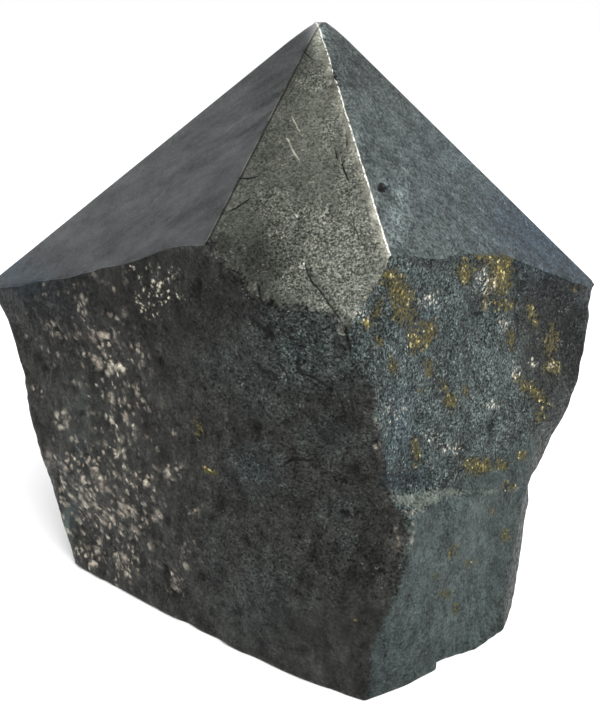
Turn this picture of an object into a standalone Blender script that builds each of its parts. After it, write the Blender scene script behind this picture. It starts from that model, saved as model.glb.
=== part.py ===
"""A hematite stone: a rough block, sawn flat at its foot, with a ground six-sided point.

Lengths are in millimetres, with X to the right, Y away from the front and Z up from the foot.
They become metres when the mesh is made. The rough wall is a loft: named corner lines run up the
block, straight sides join them, and relief is laid over the sides. The point's six facets and its
small flat tip are then sawn off the block, as on the real stone.
"""

import bmesh
import bpy
import numpy as np
from mathutils import Vector

MM = 0.001

# The point. The three rear facets were ground a little less deep, which leaves a small flat tip.
HEIGHT = 80.0
POINT_AXIS = (2.2, 0.0)
FACETS = {  # azimuth it looks to and slope from level, in degrees, and its height on the axis
    "left": (214.8, 45.7, 79.9),
    "front": (264.0, 46.9, 79.9),
    "right": (325.2, 50.2, 80.0),
    "rear right": (25.0, 44.5, 82.2),
    "rear": (85.0, 45.0, 82.4),
    "rear left": (145.0, 41.5, 81.2),
}

# The block's corner lines, counterclockwise from the left: (height, x, y) from the foot up
CORNERS = {
    "left": [(0, -34.9, 2.8), (6, -36.1, 3.0), (16, -37.7, 3.2), (26, -39.7, 3.8),
             (31, -40.0, 4.2), (40, -41.9, 4.4), (45, -43.7, 4.5)],
    "left face": [(0, -14.2, -13.9), (30, -12.4, -16.4), (50, -11.2, -18.9), (58, -10.7, -19.7)],
    "brow": [(0, -2.6, -21.9), (24, -2.0, -22.8), (38, -2.4, -23.5), (44, -3.0, -24.4),
             (49, -3.8, -25.7), (54, -4.4, -26.0)],
    "front": [(0, 8.2, -28.4), (7, 8.9, -28.5), (13, 10.1, -28.5), (18, 12.2, -28.0),
              (24, 13.4, -27.4), (26, 12.8, -27.0), (29, 10.8, -26.9), (38, 9.0, -28.1),
              (44, 7.7, -28.6), (50, 4.9, -28.7), (56, 3.0, -28.7)],
    "ledge": [(0, 14.6, -25.0), (12, 15.0, -24.2), (22, 17.2, -22.5), (26, 16.3, -22.5),
              (27, 15.8, -20.9), (40, 12.6, -22.6), (50, 10.8, -22.7), (57, 9.9, -22.4)],
    "right panel": [(0, 21.4, -19.2), (12, 21.3, -18.9), (22.8, 21.0, -18.8), (24, 21.0, -16.4),
                    (40, 21.0, -13.4), (55, 19.0, -12.6)],
    "valley": [(0, 28.1, -13.5), (10, 29.6, -9.6), (19, 31.4, -6.2), (24, 33.0, -3.8),
               (34, 30.4, -4.1), (42, 28.2, -5.0), (54, 25.6, -6.0)],
    "right": [(0, 30.7, -8.5), (7, 31.3, -6.0), (11, 32.0, -4.0), (15, 32.6, -3.0),
              (18, 32.2, -2.5), (20, 33.9, -1.7), (27, 38.8, 2.0), (35, 41.2, 4.2),
              (48, 41.6, 4.5)],
    "rear right": [(0, 27.0, 11.0), (20, 31.0, 14.0), (34, 35.0, 15.5), (48, 35.5, 17.0)],
    "rear": [(0, 14.0, 24.0), (14, 19.0, 25.5), (30, 20.5, 28.0), (52, 22.0, 27.0)],
    "rear left": [(0, -13.0, 27.0), (18, -16.5, 31.5), (36, -17.0, 33.0), (54, -15.5, 31.0)],
    "left rear": [(0, -29.0, 16.0), (20, -34.0, 20.5), (34, -34.5, 22.5), (46, -35.0, 20.0)],
}
LEDGE_HEIGHT = {  # height of the ledge that runs round the block, at each corner line
    "left": 24, "left face": 26, "brow": 27, "front": 28.4, "ledge": 26.5, "right panel": 23.4,
    "valley": 20.5, "right": 19, "rear right": 21, "rear": 24, "rear left": 25, "left rear": 24,
}
LEDGE_RISE = 1.2      # height over which the wall steps back above the ledge
BLOCK_TOP = 84.0      # the uncut block is taller than its point
EDGE_RADIUS = 0.8     # half the width over which a corner is worn round
MIDDLE_HEIGHT = 30.0  # where distances round the block are measured

# Shallow shell-shaped scars where chips broke away: the corner line each one is measured from,
# how far round from it and how high the middle is, its radius and its depth
SCARS = [
    ("brow", 4.5, 25.0, 8.0, 0.4),
    ("left face", -15.0, 33.0, 9.0, 0.5),
    ("left", 9.0, 9.0, 8.0, 0.6),
    ("front", -4.0, 8.0, 7.0, 0.4),
    ("valley", 6.0, 38.0, 7.0, 0.7),
    ("right panel", 4.0, 44.0, 7.5, 0.5),
    ("right panel", 3.0, 9.0, 9.0, 0.7),
    ("right", 8.0, 36.0, 9.0, 1.2),
    ("rear right", 3.0, 12.0, 9.0, 1.0),
    ("rear right", 12.0, 40.0, 8.0, 1.0),
    ("rear", 15.0, 33.0, 15.0, 2.0),
    ("rear", 8.0, 10.0, 8.0, 0.9),
    ("rear left", 3.0, 14.0, 10.0, 1.3),
    ("rear left", 14.0, 38.0, 9.0, 1.1),
    ("left rear", 9.0, 20.0, 10.0, 1.2),
]

# A chip off the foot, from just right of the ledge line
CHIP_START, CHIP_WIDTH, CHIP_HEIGHT, CHIP_DEPTH = 4.6, 9.0, 7.0, 1.1

# The relief on the broken sides: how deep it is and how far apart its rises are
LUMP_DEPTH, LUMP_SIZE = 0.35, 13.0
TERRACE_DEPTH, TERRACE_SIZE, TERRACE_STEPS = 0.7, 8.0, 2.5
CRAG_DEPTH, CRAG_SIZE = 0.22, 4.2
RELIEF_SEED = 11
LATTICE = 32          # random values along each side of the noise lattice, which then repeats

# The middle of the stone's box in plan, which becomes the origin
PLAN_CENTRE = (-0.85, 2.21)

# The net
COLUMN_WIDTH = 1.95
ROWS_BELOW_LEDGE = 16
ROWS_ABOVE_LEDGE = 24
RIM_ROOM = 60.0       # rows reach this height, and one more band closes the block above them
MERGE_DISTANCE = 0.02
SHARP_ANGLE = 28.0    # in degrees, from which an edge is shaded sharp


def lattice_noise(points, size, seed):
    """Smooth noise from -1 to 1: random values on a cubic lattice, blended between its points."""
    values = np.random.default_rng(seed).uniform(-1, 1, (LATTICE, LATTICE, LATTICE))
    cell = np.floor(points / size).astype(int)
    part = points / size - cell
    part = part * part * (3 - 2 * part)
    total = np.zeros(points.shape[:-1])
    for step in np.ndindex(2, 2, 2):
        weight = np.prod(np.where(step, part, 1 - part), axis=-1)
        at = (cell + step) % LATTICE
        total += weight * values[at[..., 0], at[..., 1], at[..., 2]]
    return total


def relief(points):
    """Lumps, broken terraces and crags, as a distance out from the plain wall.

    The terraces are smooth noise pressed towards even levels, so that flat shelves end in short
    steps, the way this rock breaks. Each step climbs in the middle third between two shelves.
    """
    level = TERRACE_STEPS * lattice_noise(points, TERRACE_SIZE, RELIEF_SEED + 2)
    shelf = np.floor(level)
    climb = np.clip(3 * (level - shelf) - 1, 0, 1)
    height = TERRACE_DEPTH * (shelf + climb) / TERRACE_STEPS / 2
    height += LUMP_DEPTH * lattice_noise(points, LUMP_SIZE, RELIEF_SEED)
    return height + CRAG_DEPTH * lattice_noise(points, CRAG_SIZE, RELIEF_SEED + 1)


def stations():
    """Distance round the block of each corner line, from their places at middle height."""
    places = np.array([
        [np.interp(MIDDLE_HEIGHT, *np.array(line)[:, (0, axis)].T) for axis in (1, 2)]
        for line in CORNERS.values()
    ])
    sides = np.linalg.norm(np.roll(places, -1, axis=0) - places, axis=1)
    return np.concatenate([[0.0], np.cumsum(sides)])


def column_stations(marks):
    """Distance round the block of every column: each side is shared into equal widths."""
    found = []
    for begin, end in zip(marks[:-1], marks[1:]):
        count = max(2, round((end - begin) / COLUMN_WIDTH))
        found += list(np.linspace(begin, end, count, endpoint=False))
    return np.array(found)


def along_sides(values, marks, columns):
    """Each column's share of the values of the two corner lines beside it."""
    side = np.searchsorted(marks, columns, side="right") - 1
    share = (columns - marks[side]) / (marks[side + 1] - marks[side])
    following = (side + 1) % len(values)
    return values[side] * (1 - share) + values[following] * share


def wall_plan(height, columns, marks):
    """The wall's x and y before relief, for heights on a grid of rows by columns.

    The corner lines are read at each height and joined by straight sides. At a corner, the bend
    is spread over EDGE_RADIUS to each side, as a parabola that touches both sides.
    """
    lines = [np.array(line, float) for line in CORNERS.values()]
    places = np.stack([
        np.stack([np.interp(height, line[:, 0], line[:, axis]) for axis in (1, 2)], axis=-1)
        for line in lines
    ])
    slopes = (np.roll(places, -1, axis=0) - places) / np.diff(marks)[:, None, None, None]
    side = np.searchsorted(marks, columns, side="right") - 1
    every = np.arange(len(columns))
    begin = places[side, :, every].swapaxes(0, 1)
    plan = begin + slopes[side, :, every].swapaxes(0, 1) * (columns - marks[side])[:, None]
    around = marks[-1]
    for corner, mark in enumerate(marks[:-1]):
        away = np.abs((columns - mark + around / 2) % around - around / 2)
        spread = np.maximum(EDGE_RADIUS - away, 0) ** 2 / (4 * EDGE_RADIUS)
        plan += (slopes[corner] - slopes[corner - 1]) * spread[:, None]
    return plan


def scars(height, columns, marks):
    """How deep the scars are: in each, a bowl that ends in a crisp rim."""
    names = list(CORNERS)
    around = marks[-1]
    depth = np.zeros(height.shape)
    for line, offset, middle, radius, deep in SCARS:
        away = (columns - marks[names.index(line)] - offset + around / 2) % around - around / 2
        reach = (away / radius) ** 2 + ((height - middle) / radius) ** 2
        depth = np.maximum(depth, deep * (1 - reach))
    return depth


def foot_chip(height, columns, marks):
    """How deep the chip off the foot is: deepest at its left end, fading up and to the right."""
    along = (columns - marks[list(CORNERS).index("ledge")] - CHIP_START) / CHIP_WIDTH
    fade = np.clip(1 - along, 0, 1) * (along > 0)
    return CHIP_DEPTH * fade * np.clip(1 - height / CHIP_HEIGHT, 0, 1)


def wall(height, columns, marks):
    """The wall's points: the plan, moved outwards by the relief and inwards by scars and chip."""
    plan = wall_plan(height, columns, marks)
    run = np.roll(plan, -1, axis=1) - np.roll(plan, 1, axis=1)
    run /= np.linalg.norm(run, axis=-1, keepdims=True)
    outward = np.stack([run[..., 1], -run[..., 0]], axis=-1)
    points = np.concatenate([plan, height[..., None]], axis=-1)
    out = relief(points) - scars(height, columns, marks) - foot_chip(height, columns, marks)
    points[..., :2] += outward * out[..., None]
    return points


def row_heights(columns, marks):
    """Heights of all rows at each column: even below the ledge, even above it, then the top."""
    ledge = along_sides(np.array(list(LEDGE_HEIGHT.values()), float), marks, columns)
    foot = ledge - LEDGE_RISE / 2
    head = ledge + LEDGE_RISE / 2
    below = np.linspace(0, 1, ROWS_BELOW_LEDGE)[:, None] * foot
    above = head + np.linspace(0, 1, ROWS_ABOVE_LEDGE)[:, None] * (RIM_ROOM - head)
    return np.concatenate([below, above, np.full((1, len(columns)), BLOCK_TOP)])


def rough_block():
    """A cylinder cut into rows and columns, whose points are then moved onto the wall."""
    marks = stations()
    columns = column_stations(marks)
    heights = row_heights(columns, marks)
    rows, around = heights.shape
    points = wall(heights, columns, marks)

    net = bmesh.new()
    bmesh.ops.create_cone(net, cap_ends=True, segments=around, radius1=1, radius2=1, depth=1)
    upright = [e for e in net.edges if abs(e.verts[0].co.z - e.verts[1].co.z) > 0.5]
    bmesh.ops.subdivide_edges(net, edges=upright, cuts=rows - 2, use_grid_fill=False)
    for vertex in net.verts:
        turn = np.arctan2(vertex.co.y, vertex.co.x) / (2 * np.pi) * around
        row = round((vertex.co.z + 0.5) * (rows - 1))
        vertex.co = points[row, round(turn) % around] * MM
    return net


def saw(block, place, outward):
    """Saws off what lies on the outward side of a plane, closing the cut with one flat face."""
    everything = block.verts[:] + block.edges[:] + block.faces[:]
    cut = bmesh.ops.bisect_plane(
        block, geom=everything, plane_co=place, plane_no=outward, clear_outer=True
    )
    rim = [item for item in cut["geom_cut"] if isinstance(item, bmesh.types.BMEdge)]
    bmesh.ops.edgenet_fill(block, edges=rim)


def saw_point(block):
    """Saws the six facets and the tip off the block."""
    for azimuth, slope, axis_height in FACETS.values():
        turn, tilt = np.radians([azimuth, slope])
        outward = Vector((
            np.sin(tilt) * np.cos(turn),
            np.sin(tilt) * np.sin(turn),
            np.cos(tilt),
        ))
        saw(block, Vector((*POINT_AXIS, axis_height)) * MM, outward)
    saw(block, Vector((0, 0, HEIGHT)) * MM, Vector((0, 0, 1)))
    bmesh.ops.remove_doubles(block, verts=block.verts, dist=MERGE_DISTANCE * MM)
    bmesh.ops.recalc_face_normals(block, faces=block.faces)


def hematite_material():
    """Dark grey, half metallic iron ore."""
    material = bpy.data.materials.new("hematite")
    material.use_nodes = True
    surface = material.node_tree.nodes["Principled BSDF"]
    surface.inputs["Base Color"].default_value = (0.075, 0.078, 0.080, 1)
    surface.inputs["Metallic"].default_value = 0.5
    surface.inputs["Roughness"].default_value = 0.45
    return material


def main():
    for old in list(bpy.data.objects):
        bpy.data.objects.remove(old)

    block = rough_block()
    saw_point(block)
    bmesh.ops.translate(block, verts=block.verts, vec=-Vector((*PLAN_CENTRE, 0)) * MM)

    mesh = bpy.data.meshes.new("hematite_stone")
    block.to_mesh(mesh)
    block.free()
    mesh.shade_smooth()
    mesh.set_sharp_from_angle(angle=np.radians(SHARP_ANGLE))
    mesh.materials.append(hematite_material())
    stone = bpy.data.objects.new("hematite_stone", mesh)
    collection = bpy.data.collections.new("Hematite stone")
    bpy.context.scene.collection.children.link(collection)
    collection.objects.link(stone)


main()
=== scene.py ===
"""The looks of the hematite stone: its fine broken surface, its ground facets and its stains.

Lengths in this file are in millimetres, apart from the stage, in the part's own frame before it is
centred: X to the right, Y away from the front, Z up from the foot. The rough wall and the facets
repeat the part's own values, and the finer relief is laid on them. What the part hasn't is a small
beak at the right corner of the rim, and rounding of the tip, the ridges and the foot's edge.
"""
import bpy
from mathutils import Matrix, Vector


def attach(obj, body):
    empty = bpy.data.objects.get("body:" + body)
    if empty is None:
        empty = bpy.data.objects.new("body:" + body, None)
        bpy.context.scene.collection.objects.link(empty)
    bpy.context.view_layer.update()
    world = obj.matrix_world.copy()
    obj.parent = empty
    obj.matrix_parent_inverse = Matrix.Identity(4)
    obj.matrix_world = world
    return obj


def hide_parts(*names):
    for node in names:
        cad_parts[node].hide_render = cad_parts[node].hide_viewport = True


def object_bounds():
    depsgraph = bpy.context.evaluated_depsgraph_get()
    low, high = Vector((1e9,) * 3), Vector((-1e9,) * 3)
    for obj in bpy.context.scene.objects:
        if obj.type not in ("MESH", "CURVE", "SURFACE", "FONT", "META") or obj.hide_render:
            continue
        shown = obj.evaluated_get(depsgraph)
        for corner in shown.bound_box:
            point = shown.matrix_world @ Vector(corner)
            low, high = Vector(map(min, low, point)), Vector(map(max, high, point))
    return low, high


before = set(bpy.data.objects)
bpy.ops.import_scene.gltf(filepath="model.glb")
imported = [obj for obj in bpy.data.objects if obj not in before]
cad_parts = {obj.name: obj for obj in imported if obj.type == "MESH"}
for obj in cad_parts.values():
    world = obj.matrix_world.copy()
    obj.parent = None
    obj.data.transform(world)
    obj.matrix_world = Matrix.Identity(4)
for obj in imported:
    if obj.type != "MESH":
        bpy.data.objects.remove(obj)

from types import SimpleNamespace

import bmesh
import bpy
import numpy as np
from bpy.props import FloatProperty, FloatVectorProperty, PointerProperty
from mathutils import Vector

CAD_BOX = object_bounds()

bl_info = {
    "name": "Hematite Stone",
    "version": (1, 0, 0),
    "blender": (4, 5, 0),
    "location": "3D View > Sidebar > Hematite",
    "description": "A rough hematite stone with a sawn foot and a ground six-sided point",
    "category": "Add Mesh",
}

MM = 0.001

# The stone, as the part has it
HEIGHT = 80.0
POINT_AXIS = (2.2, 0.0)
PLAN_CENTRE = (-0.85, 2.21)
FACETS = {  # azimuth it looks to and slope from level, in degrees, and its height on the axis
    "left": (214.8, 45.7, 79.9),
    "front": (264.0, 46.9, 79.9),
    "right": (325.2, 50.2, 80.0),
    "rear right": (25.0, 44.5, 82.2),
    "rear": (85.0, 45.0, 82.4),
    "rear left": (145.0, 41.5, 81.2),
}
CORNERS = {  # corner lines, counterclockwise from the left: (height, x, y) from the foot up
    "left": [(0, -34.9, 2.8), (6, -36.1, 3.0), (16, -37.7, 3.2), (26, -39.7, 3.8),
             (31, -40.0, 4.2), (40, -41.9, 4.4), (45, -43.7, 4.5)],
    "left face": [(0, -14.2, -13.9), (30, -12.4, -16.4), (50, -11.2, -18.9), (58, -10.7, -19.7)],
    "brow": [(0, -2.6, -21.9), (24, -2.0, -22.8), (38, -2.4, -23.5), (44, -3.0, -24.4),
             (49, -3.8, -25.7), (54, -4.4, -26.0)],
    "front": [(0, 8.2, -28.4), (7, 8.9, -28.5), (13, 10.1, -28.5), (18, 12.2, -28.0),
              (24, 13.4, -27.4), (26, 12.8, -27.0), (29, 10.8, -26.9), (38, 9.0, -28.1),
              (44, 7.7, -28.6), (50, 4.9, -28.7), (56, 3.0, -28.7)],
    "ledge": [(0, 14.6, -25.0), (12, 15.0, -24.2), (22, 17.2, -22.5), (26, 16.3, -22.5),
              (27, 15.8, -20.9), (40, 12.6, -22.6), (50, 10.8, -22.7), (57, 9.9, -22.4)],
    "right panel": [(0, 21.4, -19.2), (12, 21.3, -18.9), (22.8, 21.0, -18.8), (24, 21.0, -16.4),
                    (40, 21.0, -13.4), (55, 19.0, -12.6)],
    "valley": [(0, 28.1, -13.5), (10, 29.6, -9.6), (19, 31.4, -6.2), (24, 33.0, -3.8),
               (34, 30.4, -4.1), (42, 28.2, -5.0), (54, 25.6, -6.0)],
    "right": [(0, 30.7, -8.5), (7, 31.3, -6.0), (11, 32.0, -4.0), (15, 32.6, -3.0),
              (18, 32.2, -2.5), (20, 33.9, -1.7), (27, 38.8, 2.0), (35, 41.2, 4.2),
              (48, 41.6, 4.5)],
    "rear right": [(0, 27.0, 11.0), (20, 31.0, 14.0), (34, 35.0, 15.5), (48, 35.5, 17.0)],
    "rear": [(0, 14.0, 24.0), (14, 19.0, 25.5), (30, 20.5, 28.0), (52, 22.0, 27.0)],
    "rear left": [(0, -13.0, 27.0), (18, -16.5, 31.5), (36, -17.0, 33.0), (54, -15.5, 31.0)],
    "left rear": [(0, -29.0, 16.0), (20, -34.0, 20.5), (34, -34.5, 22.5), (46, -35.0, 20.0)],
}
LEDGE_HEIGHT = {  # height of the ledge that runs round the block, at each corner line
    "left": 24, "left face": 26, "brow": 27, "front": 28.4, "ledge": 26.5, "right panel": 23.4,
    "valley": 20.5, "right": 19, "rear right": 21, "rear": 24, "rear left": 25, "left rear": 24,
}
LEDGE_RISE = 1.2
EDGE_RADIUS = 0.8
MIDDLE_HEIGHT = 30.0
SCARS = [  # corner line, distance round from it, height of the middle, radius, depth
    ("brow", 4.5, 25.0, 8.0, 0.4),
    ("left face", -15.0, 33.0, 9.0, 0.5),
    ("left", 9.0, 9.0, 8.0, 0.6),
    ("front", -4.0, 8.0, 7.0, 0.4),
    ("valley", 6.0, 38.0, 7.0, 0.7),
    ("right panel", 4.0, 44.0, 7.5, 0.5),
    ("right panel", 3.0, 9.0, 9.0, 0.7),
    ("right", 8.0, 36.0, 9.0, 1.2),
    ("rear right", 3.0, 12.0, 9.0, 1.0),
    ("rear right", 12.0, 40.0, 8.0, 1.0),
    ("rear", 15.0, 33.0, 15.0, 2.0),
    ("rear", 8.0, 10.0, 8.0, 0.9),
    ("rear left", 3.0, 14.0, 10.0, 1.3),
    ("rear left", 14.0, 38.0, 9.0, 1.1),
    ("left rear", 9.0, 20.0, 10.0, 1.2),
]
CHIP_START, CHIP_WIDTH, CHIP_HEIGHT, CHIP_DEPTH = 4.6, 9.0, 7.0, 1.1
LUMP_DEPTH, LUMP_SIZE = 0.35, 13.0
TERRACE_DEPTH, TERRACE_SIZE, TERRACE_STEPS = 0.7, 8.0, 2.5
CRAG_DEPTH, CRAG_SIZE = 0.22, 4.2
RELIEF_SEED = 11
LATTICE = 32

# What the part hasn't: the right corner's beak at the rim, the hollow below it, and the rounding.
# Middles and half widths are measured round the block. In each pair of heights, the form begins at
# the first and is full at the second.
BEAK_OUT, BEAK_MIDDLE, BEAK_HALF_WIDTH, BEAK_HEIGHTS = 0.35, 0.9, 0.5, (44.0, 44.8)
HOLLOW_IN, HOLLOW_HALF_WIDTH = 0.55, 1.2
HOLLOW_BELOW, HOLLOW_ABOVE = (40.0, 42.5), (45.2, 44.0)
RIDGE_ROUND = 0.07    # how far the soft lowest value rounds the ridges between facets
TIP_ROUND = 0.30      # how much more it rounds them near the tip
TIP_ROUND_HEIGHTS = (HEIGHT - 2.5, HEIGHT + 0.5)
FOOT_WEAR, FOOT_WEAR_HEIGHT = 0.35, 0.7

# The fine relief. Each noise has the size of its features and a seed.
FINE_NOISES = {
    "shelf": (2.6, 40), "crumb": (1.25, 41), "grain": (0.62, 42), "hole": (1.7, 43),
    "bite": (2.3, 45), "small bite": (0.9, 46), "ripple": (6.0, 48), "nick": (1.4, 49),
    "wander": (3.0, 50), "small wander": (1.2, 51), "broad": (9.0, 52), "stain": (4.5, 53),
    "patch": (4.0, 54),
}
UPRIGHT_SHARE = 0.5   # noise drawn out upright has its heights times this
SHELF_DEPTH, SHELF_STEPS = 0.30, 2.0
CRUMB_DEPTH, GRAIN_DEPTH, RIPPLE_DEPTH = 0.13, 0.05, 0.012
HOLE_DEPTH, HOLE_LEVEL = 0.8, 0.55
RELIEF_START = 1.2    # height by which the fine relief is full
BELOW_LEDGE = (27.5, 24.5)  # heights between which the smooth lower right begins
BITES = (("bite", 0.25, 1.0), ("small bite", 0.3, 0.5))  # noise, its level and share of the depth
BITE_DEPTH, BITE_REACH = 0.5, 0.5
NICK_LEVEL = 0.35
RIGHT_NICKS, LEFT_NICKS = (0.35, 0.5), (0.15, 0.4)  # depth and reach from the ridge
CRACK_SPREAD = 1.8    # in half widths of the crack
STEP_DEPTH, STEP_HALF_WIDTH, STEP_FADE = 0.27, 2.5, 26.0  # widths in pixels
FACING = 0.15         # how squarely a face looks to the eye before it counts as seen
FAR_AWAY = 99.0       # the foot's distance from the rim, where no chip reaches

# The net
FRONT_WIDTH, REAR_WIDTH = 0.47, 0.56
RIDGE_OFFSETS = (-0.8, -0.4, -0.16, 0.0, 0.16, 0.4, 0.8)
FOOT_ROWS = (0.0, 0.12, 0.35, 0.7)
ROWS_BELOW_LEDGE, ROWS_IN_LEDGE, ROWS_ABOVE_LEDGE = 50, 4, 54
RIM_ROWS = (0.45, 0.18, 0.06)
CROWN_EDGE_SHARES = (0.002, 0.006, 0.014)
CROWN_ROWS = 74
FOOT_SHARES = (0.0, 0.25, 0.5, 0.75, 0.93)
TIP_SHARES = (0.8, 0.6, 0.4, 0.2)
RIM_RANGE, RIM_HALVINGS = (38.0, 64.0), 24  # heights between which the rim is looked for
RIDGE_SEARCH = 0.2    # step round the block in looking for the ridges' ends
MERGE_DISTANCE = 0.008
SHARP_ANGLE = 50.0

# The photograph's camera. Its eye is in the part's frame before centring.
PICTURE = (600, 715)
FOCUS = 1000.0        # focal length in pixels
PITCH = 22.0
EYE = (0.0, -128.8, 87.9)
PIXEL_WIDTH = 0.14    # about the width on the stone that one pixel shows
BRUSH_LEAN = 33.0     # how steeply the brush strokes rise on the picture, in degrees
SOFT_LEFT, SOFT_LOW = (235, 120), (560, 640)  # pixels between which the picture grows soft
FRINGE_END = (350, 330)    # pixels between which the front facet loses its fringe of rock
REAR_AFTER_FRONT = -70     # distance round the block from the front edge
RIDGE_LIMIT, LINE_LIMIT = 4, 6  # distances are kept within these on both sides
LINE_END = (5.0, 2.5)      # half widths between which a line's mark fades in
# How strongly the painted shade and the painted light of the spots darken and lighten the colour
PAINTED_SHADE_SHARE, PAINTED_LIGHT_SHARE = 0.75, 0.8

# The material's noises: size of the features, detail and roughness
NOISES = {
    "broad": (7.0, 3.0, 0.5), "cloud": (2.0, 4.0, 0.6), "speck": (0.36, 3.0, 0.7),
    "curl": (0.75, 2.0, 0.6), "worm": (0.40, 2.0, 0.7), "sand": (0.27, 2.0, 0.7),
}
CRYSTAL_SIZE, SPARK_SIZE = 0.36, 0.20
CHUNKS, SMALL_BEADS, LARGE_BEADS = (0.55, (1, 1, 0.9)), (0.85, (1, 1, 0.8)), (2.0, (1, 1, 1))
STREAK_SHAPE = (1, 1, 0.4)
SPARKS_FROM = (0.95, 1.08)  # range of a grain's random number in which it turns to a spark
DARKEST = 0.12              # least share of its colour that a dark grain of rock keeps
BUMP_HEIGHT = 0.16
HALF = (0.5, 0.5, 0.5)      # middle of a random colour
POINT_VALUES = (  # what each point of the mesh carries for the material
    "ground", "left_facet", "front_facet", "front_side", "slate", "blue", "calm", "soft",
    "hollow", "pit", "frost", "grit", "brushed", "along_brush", "across_brush", "ochre", "glint",
    "white", "tone", "line", "line_near", "pale_line", "pale_line_near", "left_ridge",
    "right_ridge",
)

# The stage, in metres
FLOOR_REACH = 3.0
LAMP_TARGET = (0.0, 0.0, 0.04)
KEY_PLACE, KEY_SIZE = (0.12, -0.30, 0.42), 0.22
SIDE_PLACE, SIDE_SIZE = (0.42, -0.05, 0.22), 0.25
CLIP_START = 0.005

# Marks that show on the photographed sides, each an ellipse on the picture:
# (x, y, half width, half height, lean of its long axis in degrees, strength)
OCHRE = [
    (399, 290, 9, 21, 35, 1.1), (412, 318, 9, 12, 20, 0.6), (401, 316, 7, 9, 0, 0.75),
    (377, 311, 4, 9, -10, 0.8), (368, 323, 6, 5, 0, 0.7), (415, 341, 6, 11, 0, 0.95),
    (429, 334, 6, 12, -15, 1.1), (421, 326, 4, 7, 25, 0.8), (393, 366, 4, 8, 15, 0.8),
    (429, 368, 5, 7, 0, 0.95), (421, 390, 4, 4, 0, 0.5), (450, 402, 5, 8, 15, 0.95),
    (445, 388, 3, 8, 20, 0.7), (466, 392, 3, 5, 0, 0.6), (416, 452, 4, 13, 8, 0.8),
    (478, 466, 12, 7, 0, 1.1), (378, 341, 5, 5, 0, 0.7), (502, 464, 9, 4, -15, 0.85),
    (522, 456, 5, 5, 0, 0.5), (419, 250, 9, 5, 40, 0.45), (466, 273, 7, 12, 5, 0.85),
    (478, 264, 8, 6, 0, 0.5), (501, 272, 10, 22, -8, 1.2), (486, 300, 7, 9, 0, 0.5),
    (489, 257, 13, 6, 0, 1.0), (504, 305, 11, 5, 0, 0.85), (511, 340, 5, 10, 8, 0.8),
    (532, 315, 4, 12, 12, 0.8), (550, 340, 7, 14, 0, 0.7), (552, 367, 7, 9, 0, 0.75),
    (532, 390, 5, 18, 52, 0.95), (541, 413, 7, 9, 0, 0.4), (578, 288, 9, 4, 0, 0.5),
    (508, 486, 8, 5, 0, 0.4), (198, 427, 3, 11, 8, 0.75), (209, 470, 3, 9, 62, 0.8),
    (243, 203, 6, 2, -20, 0.6), (453, 551, 5, 8, -35, 0.45), (445, 594, 7, 5, 0, 0.4),
    (455, 609, 4, 6, -15, 0.5), (436, 577, 4, 3, 0, 0.4), (468, 564, 10, 6, 0, 0.3),
    (505, 536, 6, 9, 0, 0.35), (491, 512, 6, 5, 0, 0.3), (356, 622, 4, 4, 0, 0.35),
]
# Pale grains beside the stains, with painted sparkle in the cluster on the upper left
WHITE_GRAINS_AND_SPARKLE = [
    (432, 300, 12, 8, 0, 0.8), (487, 285, 9, 16, 0, 1.1), (504, 324, 7, 5, 0, 1.0),
    (533, 363, 5, 5, 0, 0.7), (517, 373, 5, 5, 0, 0.8), (452, 449, 12, 6, -20, 0.6),
    (493, 405, 13, 5, -15, 0.5), (430, 436, 6, 6, 0, 0.6), (552, 367, 4, 5, 0, 0.9),
    (154, 292, 14, 20, 0, 1.0), (167, 276, 14, 7, 0, 0.8), (142, 306, 9, 7, 0, 0.8),
    (130, 268, 10, 5, 0, 0.4), (178, 298, 8, 6, 0, 0.5), (365, 315, 9, 12, 30, 0.5),
    (395, 415, 18, 22, 0, 0.28),
]
# Painted glints: where light glints on the crystals of the left side
PAINTED_GLINT_SPOTS = [
    (100, 505, 62, 85, 0, 0.60), (112, 370, 42, 100, 14, 0.50), (55, 330, 40, 60, 0, 0.22),
    (46, 291, 6, 6, 0, 0.8), (84, 296, 12, 11, 0, 0.5), (56, 327, 7, 9, 0, 0.7),
    (102, 342, 15, 20, 15, 0.7), (143, 360, 7, 9, 0, 0.8), (115, 383, 13, 15, 15, 0.75),
    (125, 406, 8, 11, 0, 0.95), (61, 424, 10, 12, 0, 0.7), (115, 450, 9, 17, 0, 1.2),
    (74, 464, 18, 16, 0, 1.25), (61, 485, 6, 11, 0, 0.9), (110, 477, 9, 7, 20, 0.8),
    (133, 480, 7, 13, 0, 0.8), (176, 475, 17, 13, 0, 0.75), (189, 508, 11, 11, 0, 0.8),
    (89, 498, 14, 18, 10, 1.2), (102, 523, 14, 12, 0, 1.15), (130, 536, 6, 11, 0, 0.9),
    (84, 533, 6, 13, 10, 0.9), (120, 560, 18, 19, 0, 1.3), (94, 552, 16, 14, 0, 1.2),
    (189, 554, 12, 15, 0, 0.75), (176, 585, 10, 13, 0, 0.85), (153, 515, 13, 9, 0, 0.7),
    (173, 436, 5, 9, 0, 0.7), (28, 340, 8, 16, 0, 0.3), (40, 390, 8, 10, 0, 0.6),
    (369, 392, 4, 14, 0, 0.4), (376, 436, 5, 22, 0, 0.5), (383, 474, 4, 14, 0, 0.4),
    (395, 538, 5, 12, 0, 0.8), (406, 549, 6, 9, 0, 0.9), (411, 533, 4, 11, 0, 0.7),
    (405, 514, 9, 6, 0, 0.7),
]
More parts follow.
